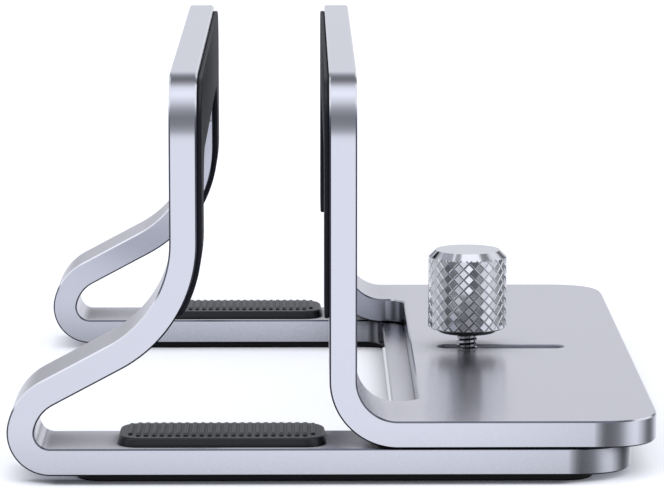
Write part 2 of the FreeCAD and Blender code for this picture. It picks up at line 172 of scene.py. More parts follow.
# Studio: soft panels that only shiny surfaces see, as levels by the angle or the place of a reflected ray
REAR_LIGHT = 0.4                   # plain light from behind the stand, where the average is 1
PANEL_PEAK = 1.25                  # the panels' levels are kept as shares of this
PANEL_TINT = "#F5F7FF"
PANELS_ROUND = (                   # degrees round from the camera's side, for upright faces
    (-180, 0.93), (-77, 0.38), (-63, 0.12), (-47, 0.12), (-24, 0.72), (-3, 0.94), (1, 0.99), (3.8, 1.07),
    (4.6, 0.84), (6, 0.54), (9, 0.25), (12, 0.12), (16, 0.12), (21, 0.15), (26, 0.19), (31, 0.25),
    (37, 0.39), (43, 0.57), (49, 0.74), (56, 0.85), (63, 0.90), (71, 0.92), (79, 0.72), (87, 0.58),
    (94, 0.42), (101, 0.29), (108, 0.20), (116, 0.16), (126, 0.22), (140, 0.48), (157, 0.83), (180, 0.93))
PANELS_OVER = (                    # degrees up from the camera's side, for faces that look up
    (-180, 0.45), (-145, 0.08), (-45, 0.08), (-28, 0.80), (-8, 0.97), (-2, 0.68), (3, 0.45), (8, 0.34),
    (13, 0.26), (18, 0.26), (23.5, 0.24), (29, 0.29), (36, 0.36), (43, 0.49), (50, 0.64), (57, 0.81),
    (64, 0.91), (71, 1.05), (78, 1.08), (85, 1.07), (92, 0.98), (98, 0.91), (104, 0.74), (110, 0.53),
    (116, 0.40), (122, 0.26), (129, 0.20), (140, 0.22), (149, 0.34), (157, 0.54), (165, 0.75), (174, 0.76))
PANELS_ACROSS = (                  # gaps between the panels overhead, from -1 at the left to 1 at the right
    (-1, 1), (-0.42, 1), (-0.34, 0.35), (-0.24, 0.35), (-0.17, 1), (0.34, 1), (0.44, 0.3), (0.56, 0.3),
    (0.64, 1), (1, 1))
OVERHEAD_START = 0.08              # half the height over which the upright panels turn into those overhead
SIDE_LEVEL = 0.85                  # plain light from far left and right
SIDE_START = (0.55, 0.62)
LOW_LEVEL = 0.5                    # and from well below the horizon
LOW_START = (-0.235, -0.3)

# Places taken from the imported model
FRAME_LOW, FRAME_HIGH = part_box("base_frame")
BRACKET_LOW, BRACKET_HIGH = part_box("slide_bracket")
SCREW_LOW, SCREW_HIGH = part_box("thumb_screw")
SCREW_X = (SCREW_LOW.x + SCREW_HIGH.x) / 2
OUTER_FACE = FRAME_HIGH.x - BASE_REACH
BRACKET_FACE = BRACKET_LOW.x
DEPTH = FRAME_HIGH.y - FRAME_LOW.y


def linear(code):
    """A colour given in sRGB hex, as the shader wants it."""
    parts = [int(code[i:i + 2], 16) / 255 for i in (1, 3, 5)]
    return [c / 12.92 if c <= 0.04045 else ((c + 0.055) / 1.055) ** 2.4 for c in parts] + [1.0]


def node(material, kind, settings=None, **links):
    """Adds a shader node to a material or the world.

    Settings are its own. Links go to its inputs, by name, or by number after an underscore.
    """
    tree = material.node_tree
    made = tree.nodes.new(kind)
    for key, value in (settings or {}).items():
        setattr(made, key, value)
    for key, value in links.items():
        place = made.inputs[int(key[1:]) if key[0] == "_" else key.replace("_", " ")]
        if isinstance(value, bpy.types.NodeSocket):
            tree.links.new(value, place)
        else:
            place.default_value = value
    return made


def only(piece):
    """Leaves one object selected and active."""
    bpy.ops.object.select_all(action="DESELECT")
    piece.select_set(True)
    bpy.context.view_layer.objects.active = piece


def primitive(name, adder, stretch=(1, 1, 1), **settings):
    """Adds a primitive and puts its place and size in its mesh."""
    bpy.ops.object.select_all(action="DESELECT")
    adder(**settings)
    piece = bpy.context.object
    piece.name = piece.data.name = name
    piece.scale = stretch
    bpy.ops.object.transform_apply(location=True, rotation=True, scale=True)
    return piece


def block(name, low, high):
    """A block between two opposite corners."""
    low, high = Vector(low), Vector(high)
    return primitive(name, bpy.ops.mesh.primitive_cube_add, high - low, size=1, location=(low + high) / 2)


def upright_cylinder(name, radius, bottom, top, sides):
    """A cylinder on the screw's axis."""
    return primitive(name, bpy.ops.mesh.primitive_cylinder_add, vertices=sides, radius=radius,
                     depth=top - bottom, location=(SCREW_X, 0, (bottom + top) / 2))


def pick(piece, kind, test):
    """Opens a piece in edit mode, with the faces or edges chosen whose middle and direction pass a test."""
    only(piece)
    bpy.ops.object.mode_set(mode="EDIT")
    bpy.ops.mesh.select_mode(type=kind)
    bpy.ops.mesh.select_all(action="DESELECT")
    bpy.ops.object.mode_set(mode="OBJECT")
    mesh = piece.data
    if kind == "FACE":
        for face in mesh.polygons:
            face.select = test(face.center, face.normal)
    else:
        for edge in mesh.edges:
            first, last = (mesh.vertices[i].co for i in edge.vertices)
            edge.select = test((first + last) / 2, (last - first).normalized())
    bpy.ops.object.mode_set(mode="EDIT")


def done():
    """Leaves edit mode."""
    bpy.ops.object.mode_set(mode="OBJECT")


def along(direction, axis):
    """Whether an edge runs along an axis."""
    return abs(direction[axis]) > STRAIGHT


def facing_up(middle, normal):
    """Whether a face is level and looks up."""
    return normal.z > FACING


def near(value, target, reach=0.05 * MM):
    """Whether a place is where it is looked for."""
    return abs(value - target) < reach


def round_edges(piece, radius, steps, test, fullness=0.5):
    """Bevels the edges that pass a test."""
    pick(piece, "EDGE", test)
    bpy.ops.mesh.bevel(offset=radius, segments=steps, profile=fullness, affect="EDGES", clamp_overlap=False)
    done()


def rounded_block(name, low, high, radius, axis, test, steps=16, fullness=0.5):
    """A block with the chosen edges along one axis rounded."""
    piece = block(name, low, high)
    round_edges(piece, radius, steps, lambda middle, way: along(way, axis) and test(middle), fullness)
    return piece


def modify(piece, kind, **settings):
    """Adds a modifier and applies it."""
    only(piece)
    modifier = piece.modifiers.new(kind.lower(), kind)
    for key, value in settings.items():
        setattr(modifier, key, value)
    bpy.ops.object.modifier_apply(modifier=modifier.name)


def carve(piece, cutter, operation="DIFFERENCE"):
    """Cuts a piece with another, which is then thrown away."""
    modify(piece, "BOOLEAN", object=cutter, operation=operation, solver="EXACT", use_hole_tolerant=False)
    bpy.data.objects.remove(cutter)


def smooth(piece):
    """Round surfaces read as round and flat ones stay flat."""
    only(piece)
    bpy.ops.object.shade_smooth_by_angle(angle=ROUND_ANGLE)
    modify(piece, "WEIGHTED_NORMAL", mode="FACE_AREA", weight=100, keep_sharp=True)


def soften(piece, width):
    """Small rounded edges all over, as a mould leaves them."""
    modify(piece, "BEVEL", width=width, segments=2, limit_method="ANGLE", angle_limit=EDGE_ANGLE,
           use_clamp_overlap=False)
    smooth(piece)


def add_places(piece, count):
    """Gives a piece empty places for its materials."""
    while len(piece.data.materials) < count:
        piece.data.materials.append(None)


def dress(piece, body, slot, replaced, *materials):
    """Gives a finished piece its materials and its body, and hides the node it stands for."""
    add_places(piece, len(materials))
    for place, material in enumerate(materials):
        piece.data.materials[place] = material
    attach(piece, body)
    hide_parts(replaced)


def folded(name, start, top, low_y, high_y, thickness, moves, end=None):
    """A sheet's end face, extruded down its runs and spun round its folds, then run out level to an end.

    A move is a radius and a turn, or no radius and a length.
    """
    size = (thickness, high_y - low_y, 1)
    place = (start, (low_y + high_y) / 2, top)
    piece = primitive(name, bpy.ops.mesh.primitive_plane_add, size, size=1, location=place)
    pick(piece, "FACE", lambda middle, normal: True)
    heading = math.radians(-90)
    spot = Vector((start, 0, top))
    for radius, amount in moves:
        ahead = Vector((math.cos(heading), 0, math.sin(heading)))
        if radius == 0:
            bpy.ops.mesh.extrude_region_move(TRANSFORM_OT_translate={"value": ahead * amount})
            spot += ahead * amount
            continue
        left = Vector((-math.sin(heading), 0, math.cos(heading)))
        centre = spot + left * math.copysign(radius, amount)
        steps = math.ceil(abs(amount) / ARC_STEP)
        bpy.ops.mesh.spin(steps=steps, angle=amount, center=centre, axis=(0, 1, 0))
        spot = centre + Matrix.Rotation(-amount, 3, "Y") @ (spot - centre)
        heading += amount
    if end is not None:
        bpy.ops.mesh.extrude_region_move(TRANSFORM_OT_translate={"value": (end - spot.x, 0, 0)})
    bpy.ops.mesh.select_all(action="SELECT")
    bpy.ops.mesh.remove_doubles(threshold=MERGE)
    bpy.ops.mesh.normals_make_consistent(inside=False)
    done()
    return piece


def round_sheet(piece, top, end):
    """Rounds the corners at the top of an upright and at the far end of its plate."""
    def at_top(middle, way):
        return along(way, 0) and near(middle.z, top)

    def at_end(middle, way):
        return along(way, 2) and near(middle.x, end)

    round_edges(piece, SHEET_CORNER, CORNER_STEPS, at_top, CORNER_FULLNESS)
    round_edges(piece, SHEET_CORNER, CORNER_STEPS, at_end, CORNER_FULLNESS)


def upright_window(outer, inner, rail, top):
    """Cutter for a window that is open downwards."""
    inside = DEPTH / 2 - rail
    return rounded_block("window", (outer, -inside, -OVERCUT), (inner, inside, top), UPRIGHT_WINDOW_CORNER,
                         0, lambda middle: near(middle.z, top))


def plate_window(start, end, rail, bottom):
    """Cutter for the window's other leg, in the plate."""
    inside = DEPTH / 2 - rail
    return rounded_block("window", (start, -inside, bottom - OVERCUT),
                         (end, inside, bottom + SHEET + OVERCUT), WINDOW_CORNER,
                         2, lambda middle: near(middle.x, end))


def finish_sheet(piece, tops, ends):
    """Marks the cut faces and, apart, those that face the stand's middle, then chamfers the edges."""
    only(piece)
    bpy.ops.object.mode_set(mode="EDIT")
    bpy.ops.mesh.select_all(action="SELECT")
    bpy.ops.mesh.dissolve_limited(angle_limit=FLAT_ANGLE)
    done()
    add_places(piece, SLOT + 1)
    for face in piece.data.polygons:
        cut = abs(face.normal.y) > 0.01
        cut = cut or abs(face.normal.z) > FACING and any(near(face.center.z, top) for top in tops)
        cut = cut or abs(face.normal.x) > FACING and any(near(face.center.x, end) for end in ends)
        # Painted shade: walls that face the stand's middle get a darker copy of the milled metal
        inside = face.normal.y * face.center.y < -HAIR
        face.material_index = INSIDE if inside else CUT if cut else BROAD
    modify(piece, "BEVEL", width=CHAMFER, segments=1, limit_method="ANGLE", angle_limit=EDGE_ANGLE,
           use_clamp_overlap=False, material=EDGE, miter_outer="MITER_SHARP")
    smooth(piece)


def frame_moves():
    """The fixed frame's runs and folds, from the top of its upright."""
    half = SHEET / 2
    leg, large, small = LEG_BEND_INNER + half, CURL_LARGE_INNER + half, CURL_SMALL_INNER + half
    curl = math.pi + RAMP_ANGLE + CURL_LARGE_TURN
    drop = leg * math.cos(RAMP_ANGLE) + large * (math.cos(RAMP_ANGLE) + math.cos(curl))
    drop += small * (1 - math.cos(curl))
    height = FRAME_HIGH.z - FRAME_LOW.z - LEG_BEND_DROP - half
    return [
        (0, LEG_BEND_DROP),
        (leg, RAMP_ANGLE - math.pi / 2),
        (0, (height - drop) / math.sin(RAMP_ANGLE)),
        (large, CURL_LARGE_TURN),
        (small, math.pi - RAMP_ANGLE - CURL_LARGE_TURN),
    ]


def make_base_frame(materials):
    """Upright, swung legs, curl and base plate, folded from one sheet."""
    top, end = FRAME_HIGH.z, FRAME_HIGH.x
    piece = folded("folded_frame", OUTER_FACE + SHEET / 2, top, FRAME_LOW.y, FRAME_HIGH.y, SHEET,
                   frame_moves(), end)
    round_sheet(piece, top, end)
    window_top, window_end = top - WINDOW_DROP, OUTER_FACE + BASE_WINDOW_END
    inner = OUTER_FACE + SHEET + OVERCUT
    carve(piece, upright_window(FRAME_LOW.x - OVERCUT, inner, FRAME_RAIL, window_top))
    carve(piece, plate_window(OUTER_FACE, window_end, FRAME_RAIL, FRAME_LOW.z))
    finish_sheet(piece, (top, window_top), (end, window_end))
    hole_top = FRAME_LOW.z + SHEET + OVERCUT
    carve(piece, upright_cylinder("hole", STUD_DIAMETER / 2 + HOLE_CLEARANCE, 0, hole_top, BORE_SIDES))
    dress(piece, "frame", "anodised_aluminium", "base_frame", *materials)


def slot_cutter(bottom):
    """Cutter for the slot, widened at the top to leave a chamfer round it."""
    start, end = BRACKET_FACE + SLOT_START, BRACKET_FACE + SLOT_START + SLOT_LENGTH
    neck = bottom + SHEET - SLOT_CHAMFER
    slot = rounded_block("slot", (start, -SLOT_WIDTH / 2, bottom - OVERCUT), (end, SLOT_WIDTH / 2, neck),
                         SLOT_WIDTH / 2 - MERGE, 2, lambda middle: True)
    pick(slot, "FACE", facing_up)
    rise = OVERCUT + SLOT_CHAMFER
    bpy.ops.mesh.extrude_region_move(TRANSFORM_OT_translate={"value": (0, 0, rise)})
    bpy.ops.transform.resize(value=(1 + 2 * rise / SLOT_LENGTH, 1 + 2 * rise / SLOT_WIDTH, 1),
                             center_override=((start + end) / 2, 0, 0))
    done()
    for face in slot.data.polygons:
        face.material_index = SLOT
    return slot


def make_slide_bracket(materials):
    """Upright and slotted plate, folded from one sheet."""
    outer = BRACKET_BEND_INNER + SHEET
    top, end, low = BRACKET_HIGH.z, BRACKET_HIGH.x, BRACKET_LOW.z
    moves = [(0, top - low - outer), (BRACKET_BEND_INNER + SHEET / 2, math.pi / 2)]
    piece = folded("slotted_bracket", BRACKET_FACE + SHEET / 2, top, BRACKET_LOW.y, BRACKET_HIGH.y, SHEET,
                   moves, end)
    round_sheet(piece, top, end)
    window_top, window_end = top - WINDOW_DROP, BRACKET_FACE + BRACKET_WINDOW_END
    carve(piece, upright_window(BRACKET_FACE - OVERCUT, BRACKET_FACE + outer, BRACKET_RAIL, window_top))
    carve(piece, plate_window(BRACKET_FACE + SHEET, window_end, BRACKET_RAIL, low))
    finish_sheet(piece, (top, window_top), (end, window_end))
    carve(piece, slot_cutter(low))
    dress(piece, "bracket", "anodised_aluminium", "slide_bracket", *materials)


def lining_form(cad_node, rail, low_x, high_x):
    """A lining's outline as a block across the stand: an arch with rounded corners and two legs."""
    low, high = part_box(cad_node)
    form = rounded_block("lining_form", (low_x, low.y, low.z), (high_x, high.y, high.z),
                         SHEET_CORNER - LINING_MARGIN, 0, lambda middle: near(middle.z, high.z),
                         CORNER_STEPS, CORNER_FULLNESS)
    opening = DEPTH / 2 - rail + LINING_MARGIN
    top = FRAME_HIGH.z - WINDOW_DROP + LINING_MARGIN
    carve(form, rounded_block("window", (low_x - OVERCUT, -opening, 0), (high_x + OVERCUT, opening, top),
                              UPRIGHT_WINDOW_CORNER + LINING_MARGIN, 0, lambda middle: near(middle.z, top)))
    round_edges(form, LINING_LEG_CORNER, 10, lambda middle, way: along(way, 0) and near(middle.z, low.z))
    return form


def make_left_lining(material):
    """Follows the upright and the start of the bend of its legs."""
    low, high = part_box("left_upright_pad")
    face = OUTER_FACE + SHEET
    thickness = high.x - face
    radius = LEG_BEND_INNER + SHEET + thickness / 2
    moves = [(0, high.z - FRAME_HIGH.z + LEG_BEND_DROP), (radius, -LINING_TURN)]
    piece = folded("left_lining", face + thickness / 2, high.z, low.y, high.y, thickness, moves)
    form = lining_form("left_upright_pad", FRAME_RAIL, low.x - OVERCUT, high.x + OVERCUT)
    carve(piece, form, "INTERSECT")
    soften(piece, LINING_ROUND)
    dress(piece, "frame", "black_silicone", "left_upright_pad", material)


def make_right_lining(material):
    """Lies flat on the sliding upright."""
    low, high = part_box("right_upright_pad")
    piece = lining_form("right_upright_pad", BRACKET_RAIL, low.x, high.x)
    piece.name = piece.data.name = "right_lining"
    soften(piece, LINING_ROUND)
    dress(piece, "bracket", "black_silicone", "right_upright_pad", material)


def make_ribs(low, high):
    """The raised ribs of a rail strip, of which the first and the last are shorter."""
    first = (low.x + high.x - (RIB_COUNT - 1) * RIB_PITCH) / 2
    rib = block("rib", (first - RIB_WIDTH / 2, low.y + END_RIB_MARGIN, low.z + STRIP_HEIGHT / 2),
                (first + RIB_WIDTH / 2, high.y - END_RIB_MARGIN, high.z))
    round_edges(rib, RIB_ROUND, 2, lambda middle, way: near(middle.z, high.z))
    ribs = [rib]
    for index in range(1, RIB_COUNT):
        only(rib)
        bpy.ops.object.duplicate(linked=False)
        bpy.ops.transform.translate(value=(index * RIB_PITCH, 0, 0))
        bpy.ops.object.transform_apply(location=True, rotation=False, scale=False)
        ribs.append(bpy.context.object)
    for longer in ribs[1:-1]:
        for side in (-1, 1):
            pick(longer, "FACE", lambda middle, normal: normal.y * side > FACING)
            bpy.ops.transform.translate(value=(0, side * (END_RIB_MARGIN - RIB_MARGIN), 0))
            done()
    only(rib)
    for other in ribs:
        other.select_set(True)
    bpy.ops.object.join()
    return rib


def make_rail_strip(name, cad_node, material):
    """A cushion with rounded corners, leaning ends and raised ribs across it."""
    low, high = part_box(cad_node)
    top = low.z + STRIP_HEIGHT
    piece = rounded_block(name, low, (high.x, high.y, top), STRIP_CORNER, 2, lambda middle: True)
    pick(piece, "FACE", facing_up)
    shrink = 1 - 2 * STRIP_DRAFT / (high.x - low.x)
    bpy.ops.transform.resize(value=(shrink, 1, 1), center_override=((low.x + high.x) / 2, 0, 0))
    done()
    round_edges(piece, STRIP_ROUND, 4, lambda middle, way: near(middle.z, top))
    carve(piece, make_ribs(low, high), "UNION")
    smooth(piece)
    # The blasted metal round a strip is too dull to show its mirror image
    piece.visible_glossy = False
    dress(piece, "frame", "black_silicone", cad_node, material)


def make_bottom_sheet(material):
    """The anti-slip sheet under the rails and the base plate."""
    low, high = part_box("bottom_pad")
    piece = rounded_block("bottom_sheet", low, high, FOOT_CORNER, 2, lambda middle: True)
    inside = DEPTH / 2 - FRAME_RAIL + FOOT_MARGIN
    end = OUTER_FACE + BASE_WINDOW_END + FOOT_MARGIN
    top = high.z + OVERCUT
    carve(piece, rounded_block("window", (low.x - OVERCUT, -inside, -OVERCUT), (end, inside, top),
                               WINDOW_CORNER, 2, lambda middle: near(middle.x, end)))
    bore = STUD_DIAMETER / 2 + FOOT_HOLE_CLEARANCE
    carve(piece, upright_cylinder("hole", bore, -OVERCUT, top, BORE_SIDES))
    soften(piece, FOOT_ROUND)
    dress(piece, "frame", "black_silicone", "bottom_pad", material)


def make_washer(material):
    """A plain ring that rides close under the knob."""
    low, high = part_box("screw_washer")
    piece = upright_cylinder("black_washer", (high.x - low.x) / 2, low.z, high.z, TURNED_SIDES)
    bore = STUD_DIAMETER / 2 + WASHER_CLEARANCE
    carve(piece, upright_cylinder("hole", bore, low.z - OVERCUT, high.z + OVERCUT, BORE_SIDES))
    soften(piece, WASHER_ROUND)
    dress(piece, "washer", "black_washer", "screw_washer", material)


def mark_grooves(piece, radius):
    """Marks the upright faces that lie within a radius of the screw's axis as grooves."""
    for face in piece.data.polygons:
        off_axis = (face.center.xy - Vector((SCREW_X, 0))).length
        if abs(face.normal.z) < FACING and off_axis < radius:
            face.material_index = GROOVE
    add_places(piece, GROOVE + 1)


def make_knob():
    """A turned bar with a diamond knurl between bevelled ends."""
    bottom, top = SCREW_HIGH.z - KNOB_HEIGHT, SCREW_HIGH.z
    crest = KNOB_DIAMETER / 2 - KNURL_INSET
    root = crest - KNURL_DEPTH
    # A row more at each end than the knob is high
    rows = math.ceil(KNOB_HEIGHT / KNURL_ROW) + 2
    foot = bottom - KNURL_ROW
    bar = upright_cylinder("knob", root, foot, foot + KNURL_ROW, KNURLS_ROUND)
    pick(bar, "FACE", facing_up)
    for row in range(rows - 1):
        bpy.ops.mesh.extrude_region_move(TRANSFORM_OT_translate={"value": (0, 0, KNURL_ROW)})
    done()
    # Each panel is raised to a point, and without the panels' own edges the facets between join to diamonds
    pick(bar, "FACE", lambda middle, normal: abs(normal.z) < 0.1)
    bpy.ops.mesh.poke(offset=root * (1 - math.cos(math.pi / KNURLS_ROUND)))
    bpy.ops.mesh.select_all(action="DESELECT")
    done()

    def grid(middle, way):
        """Edges of the first cylinder's rows and columns, but not its two rims."""
        level = (middle.z - foot) / KNURL_ROW
        flat = abs(way.z) < 0.001 and 0.5 < level < rows - 0.5
        return (flat or along(way, 2)) and (middle.xy - Vector((SCREW_X, 0))).length > root * 0.9
    pick(bar, "EDGE", grid)
    bpy.ops.mesh.dissolve_edges(use_verts=False, use_face_split=False)
    done()
    pick(bar, "FACE", lambda middle, normal: abs(normal.z) < 0.3)
    bpy.ops.mesh.inset(thickness=KNURL_GROOVE / 2, depth=KNURL_DEPTH, use_individual=True,
                       use_boundary=True)
    done()
    mark_grooves(bar, crest - KNURL_FLANK_DROP)
    turned = upright_cylinder("turned_form", KNOB_DIAMETER / 2, bottom, top, TURNED_SIDES)
    round_edges(turned, KNOB_BEVEL, 1, lambda middle, way: near(middle.z, top))
    round_edges(turned, KNOB_FOOT_BEVEL, 1, lambda middle, way: near(middle.z, bottom))
    add_places(turned, GROOVE + 1)
    carve(bar, turned, "INTERSECT")
    return bar


def make_stud():
    """A threaded rod and its plain, bevelled tip."""
    bottom, top = SCREW_LOW.z, SCREW_HIGH.z - KNOB_HEIGHT + STUD_SEAT
    start = bottom + TIP_LENGTH
    crest = STUD_DIAMETER / 2 - THREAD_INSET
    # One turn's outline: a plane without its inner edge, narrowed at the crest and stood upright
    rod = primitive("stud", bpy.ops.mesh.primitive_plane_add, (THREAD_DEPTH, THREAD_PITCH, 1), size=1)
    pick(rod, "EDGE", lambda middle, way: middle.x < -THREAD_DEPTH / 4)
    bpy.ops.mesh.delete(type="EDGE")
    done()
    pick(rod, "EDGE", lambda middle, way: middle.x > THREAD_DEPTH / 4)
    bpy.ops.transform.resize(value=(1, THREAD_CREST, 1), center_override=(0, 0, 0))
    bpy.ops.mesh.select_all(action="SELECT")
    bpy.ops.transform.rotate(value=math.radians(-90), orient_axis="X", center_override=(0, 0, 0))
    bpy.ops.transform.translate(value=(crest - THREAD_DEPTH / 2, 0, start - THREAD_PITCH))
    done()
    # Turns to spare at both ends are cut off square
    turns = math.ceil((top - start) / THREAD_PITCH) + 3
    modify(rod, "SCREW", axis="Z", screw_offset=THREAD_PITCH, steps=THREAD_STEPS, render_steps=THREAD_STEPS,
           iterations=turns)
    only(rod)
    bpy.ops.object.mode_set(mode="EDIT")
    bpy.ops.mesh.select_all(action="SELECT")
    bpy.ops.mesh.remove_doubles(threshold=MERGE)
    bpy.ops.mesh.normals_make_consistent(inside=False)
    for height, upper in ((start, False), (top, True)):
        bpy.ops.mesh.select_all(action="SELECT")
        bpy.ops.mesh.bisect(plane_co=(0, 0, height), plane_no=(0, 0, 1), use_fill=True, clear_outer=upper,
                            clear_inner=not upper)
    bpy.ops.mesh.select_all(action="SELECT")
    bpy.ops.transform.translate(value=(SCREW_X, 0, 0))
    done()
    mark_grooves(rod, crest - THREAD_FLANK_DROP)
    tip = upright_cylinder("tip", TIP_DIAMETER / 2, bottom, start + TIP_SEAT, BORE_SIDES)
    round_edges(tip, TIP_BEVEL, 1, lambda middle, way: near(middle.z, bottom))
    add_places(tip, GROOVE + 1)
    return [rod, tip]


def make_thumb_screw(*materials):
    """Knob and stud, turned in one piece."""
    knob = make_knob()
    parts = [knob] + make_stud()
    only(knob)
    for part in parts:
        part.select_set(True)
    bpy.ops.object.join()
    smooth(knob)
    dress(knob, "screw", "bright_steel", "thumb_screw", *materials)


def make_camera():
    """The photograph's camera."""
    data = bpy.data.cameras.new("photograph_camera")
    data.sensor_width = SENSOR_WIDTH
    data.lens = CAMERA_FOCAL_PIXELS / IMAGE_WIDTH_PIXELS * SENSOR_WIDTH
    data.clip_start, data.clip_end = CAMERA_CLIP
    camera = bpy.data.objects.new("photograph_camera", data)
    bpy.context.scene.collection.objects.link(camera)
    camera.location = CAMERA_PLACE
    camera.rotation_euler = (math.radians(90 - CAMERA_PITCH), 0, math.radians(-CAMERA_YAW))
    bpy.context.scene.camera = camera


def empty(name):
    """A material without nodes."""
    material = bpy.data.materials.new(name)
    material.use_nodes = True
    material.node_tree.nodes.clear()
    return material


def surface(material, **looks):
    """Ends a material with a principled shader."""
    shader = node(material, "ShaderNodeBsdfPrincipled", **looks).outputs["BSDF"]
    output = node(material, "ShaderNodeOutputMaterial", Surface=shader)
    output.is_active_output = True


def front_chamfer(material, across, ahead, up):
    """The share of a surface that is a chamfer at the front, but for those on the ramp's upper side, where
    painted shade darkens it.
    """
    off_ramp = node(material, "ShaderNodeMapRange", Value=across, From_Min=RAMP_SIDE[1],
                    From_Max=RAMP_SIDE[0]).outputs[0]
    most = node(material, "ShaderNodeMapRange", Value=up, From_Min=UPPER_SIDE[0], From_Max=UPPER_SIDE[1],
                To_Min=1.0, To_Max=off_ramp).outputs[0]
    return node(material, "ShaderNodeMapRange", Value=ahead, From_Min=FRONT_CHAMFER[0],
                From_Max=FRONT_CHAMFER[1], To_Max=most).outputs[0]


def metal(name, colour, roughness, spread, grain, depth, open_range, front_shade_colour=None, level_only=False):
    """A metal whose grain, a width and a depth in metres, varies its roughness and its surface.

    It carries painted shade in recesses, or only on its level faces in recesses, as the open share of its
    surroundings falls from the end of a range to its start. Chamfers at the front may be painted a darker
    colour of their own, as painted shade.
    """
    material = empty(name)
    place = node(material, "ShaderNodeTexCoord").outputs["Object"]
    fine = node(material, "ShaderNodeTexNoise", Vector=place, Scale=1 / grain, Detail=2.0).outputs["Fac"]
    dullness = node(material, "ShaderNodeMapRange", Value=fine, To_Min=roughness - spread,
                    To_Max=roughness + spread).outputs[0]
    bump = node(material, "ShaderNodeBump", Height=fine, Strength=1.0, Distance=depth).outputs[0]
    normal = node(material, "ShaderNodeNewGeometry").outputs["Normal"]
    across, ahead, up = node(material, "ShaderNodeSeparateXYZ", Vector=normal).outputs
    body = linear(colour)
    # Painted shade: chamfers at the front turn to their darker colour
    if front_shade_colour:
        share = front_chamfer(material, across, ahead, up)
        body = node(material, "ShaderNodeMix", {"data_type": "RGBA"}, _0=share, _6=body,
                    _7=linear(front_shade_colour)).outputs[2]
    open_share = node(material, "ShaderNodeAmbientOcclusion", {"samples": 8}, Distance=RECESS).outputs["AO"]
    lit = node(material, "ShaderNodeMapRange", Value=open_share, From_Min=open_range[0],
               From_Max=open_range[1]).outputs[0]
    if level_only:
        lit = node(material, "ShaderNodeMapRange", Value=up, From_Min=LEVEL_FACE[0], From_Max=LEVEL_FACE[1],
                   To_Min=1.0, To_Max=lit).outputs[0]
    # Painted shade: the colour turns darker as the open share round a point falls
    tint = node(material, "ShaderNodeMix", {"data_type": "RGBA"}, _0=lit, _6=linear(RECESS_SHADE_COLOUR),
                _7=body).outputs[2]
    surface(material, Base_Color=tint, Metallic=1.0, Roughness=dullness, Normal=bump)
    return material


def dull(name, colour, roughness, sheen, top_sheen, grain, depth):
    """A dull dark surface with a faint grain, a width and a depth in metres.

    Faces that look up may be painted with another sheen, and painted shade takes all sheen out of crevices.
    """
    material = empty(name)
    place = node(material, "ShaderNodeTexCoord").outputs["Object"]
    fine = node(material, "ShaderNodeTexNoise", Vector=place, Scale=1 / grain, Detail=3.0).outputs["Fac"]
    dullness = node(material, "ShaderNodeMapRange", Value=fine, To_Min=roughness - RUBBER_SPREAD,
                    To_Max=roughness + RUBBER_SPREAD).outputs[0]
    bump = node(material, "ShaderNodeBump", Height=fine, Strength=1.0, Distance=depth).outputs[0]
    normal = node(material, "ShaderNodeNewGeometry").outputs["Normal"]
    up = node(material, "ShaderNodeSeparateXYZ", Vector=normal).outputs[2]
    # Painted sheen: faces that look up get another sheen than the sides
    most = node(material, "ShaderNodeMapRange", Value=up, From_Min=RUBBER_TOP[0], From_Max=RUBBER_TOP[1],
                To_Min=sheen, To_Max=top_sheen).outputs[0]
    # Painted shade: the sheen fades out in crevices
    open_share = node(material, "ShaderNodeAmbientOcclusion", {"samples": 8}, Distance=CREVICE).outputs["AO"]
    gloss = node(material, "ShaderNodeMapRange", Value=open_share, From_Min=CREVICE_SHARE[0],
                 From_Max=CREVICE_SHARE[1], To_Max=most).outputs[0]
    surface(material, Base_Color=linear(colour), Specular_IOR_Level=gloss, Roughness=dullness, Normal=bump)
    return material


def front_shadow_share(material):
    """The share of the floor that lies along the stand's front edge, from past the curl to the far end, where
    a darker shadow is painted.
    """
    place = node(material, "ShaderNodeTexCoord").outputs["Object"]
    across, back = node(material, "ShaderNodeSeparateXYZ", Vector=place).outputs[:2]
    past_curl = node(material, "ShaderNodeMapRange", Value=across, From_Min=FRAME_LOW.x,
                     From_Max=FRAME_LOW.x + CURL_REACH).outputs[0]
    before_end = node(material, "ShaderNodeMapRange", Value=across, From_Min=FRAME_HIGH.x - CORNER_REACH[0],
                      From_Max=FRAME_HIGH.x - CORNER_REACH[1], To_Min=past_curl, To_Max=0.0).outputs[0]
    return node(material, "ShaderNodeMapRange", Value=back, From_Min=FRAME_LOW.y + FRONT_DEPTH[0],
                From_Max=FRAME_LOW.y + FRONT_DEPTH[1], To_Min=before_end, To_Max=0.0).outputs[0]


